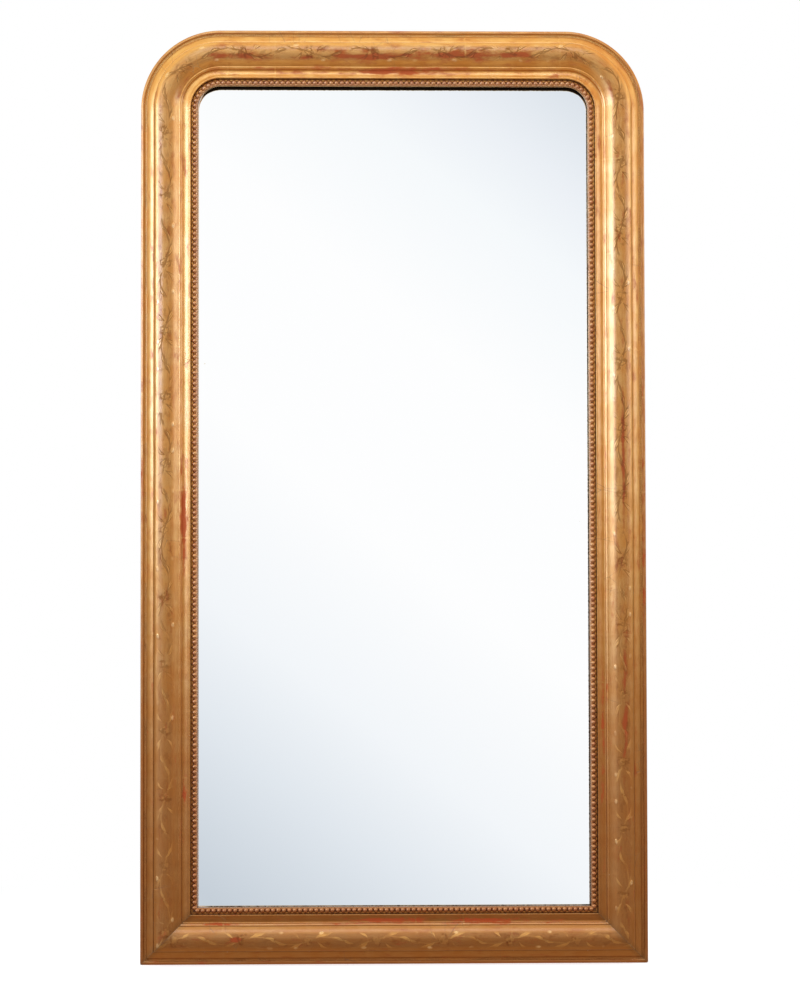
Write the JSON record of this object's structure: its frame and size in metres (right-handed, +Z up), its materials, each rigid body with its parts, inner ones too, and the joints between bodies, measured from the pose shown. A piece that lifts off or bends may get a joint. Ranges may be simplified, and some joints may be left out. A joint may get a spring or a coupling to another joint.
{
  "type": "pier mirror",
  "caption": "Tall gilded pier mirror with rounded upper corners, a pearl row round the glass, a boarded pine back and swinging hanging rings.",
  "frame": {"origin": "middle of the box's floor: half way along the lower edge, half way between the wall and the front of the moulding", "axes": "+Z up, the glass faces -Y, +Y points to the wall, +X to the viewer's right"},
  "size_m": [0.86, 0.055, 1.59],
  "materials": {
    "gilding": "burnished water gilding over red-orange clay and gesso on pine, worn, with leaf laps and an engraved running sprig",
    "pearl_gilding": "gilded pearls, rubbed to the pinkish-brown clay",
    "mirror_glass": "old silvered plate glass",
    "silvering": "dull tin foil on the back of the plate",
    "old_pine": "unfinished pine, darkened with age",
    "oak_key": "plain hardwood",
    "old_iron": "dark wrought iron with some rust"
  },
  "bodies": {
    "frame": {"backboard_1": "old_pine", "backboard_2": "old_pine", "backboard_3": "old_pine", "backboard_4": "old_pine", "backboard_5": "old_pine", "backboard_6": "old_pine", "bottom_back_rail": "old_pine", "bottom_glazing_block_1": "old_pine", "bottom_glazing_block_2": "old_pine", "bottom_pearls": "pearl_gilding", "bottom_rail_moulding": "gilding", "left_back_stile": "old_pine", "left_backboard_nail_1": "old_iron", "left_backboard_nail_2": "old_iron", "left_backboard_nail_3": "old_iron", "left_backboard_nail_4": "old_iron", "left_backboard_nail_5": "old_iron", "left_backboard_nail_6": "old_iron", "left_glazing_block_1": "old_pine", "left_glazing_block_2": "old_pine", "left_glazing_block_3": "old_pine", "left_hanger_plate": "old_iron", "left_hanger_screw_1": "old_iron", "left_hanger_screw_2": "old_iron", "left_mitre_key": "oak_key", "left_pearls": "pearl_gilding", "left_stile_moulding": "gilding", "mirror_glass": "mirror_glass", "right_back_stile": "old_pine", "right_backboard_nail_1": "old_iron", "right_backboard_nail_2": "old_iron", "right_backboard_nail_3": "old_iron", "right_backboard_nail_4": "old_iron", "right_backboard_nail_5": "old_iron", "right_backboard_nail_6": "old_iron", "right_glazing_block_1": "old_pine", "right_glazing_block_2": "old_pine", "right_glazing_block_3": "old_pine", "right_hanger_plate": "old_iron", "right_hanger_screw_1": "old_iron", "right_hanger_screw_2": "old_iron", "right_mitre_key": "oak_key", "right_pearls": "pearl_gilding", "right_stile_moulding": "gilding", "silvering": "silvering", "top_back_rail": "old_pine", "top_glazing_block_1": "old_pine", "top_glazing_block_2": "old_pine", "top_left_corner_block": "old_pine", "top_left_corner_moulding": "gilding", "top_left_pearls": "pearl_gilding", "top_pearls": "pearl_gilding", "top_rail_moulding": "gilding", "top_right_corner_block": "old_pine", "top_right_corner_moulding": "gilding", "top_right_pearls": "pearl_gilding"},
    "left_ring": {"left_hanging_ring": "old_iron"},
    "right_ring": {"right_hanging_ring": "old_iron"}
  },
  "joints": [
    {"name": "left_ring_hinge", "type": "hinge", "parent": "frame", "child": "left_ring", "pos_m": [-0.15, 0.0222, 1.56], "axis": [1, 0, 0], "range_deg": [0, 175]},
    {"name": "right_ring_hinge", "type": "hinge", "parent": "frame", "child": "right_ring", "pos_m": [0.15, 0.0222, 1.56], "axis": [1, 0, 0], "range_deg": [0, 175]}
  ]
}
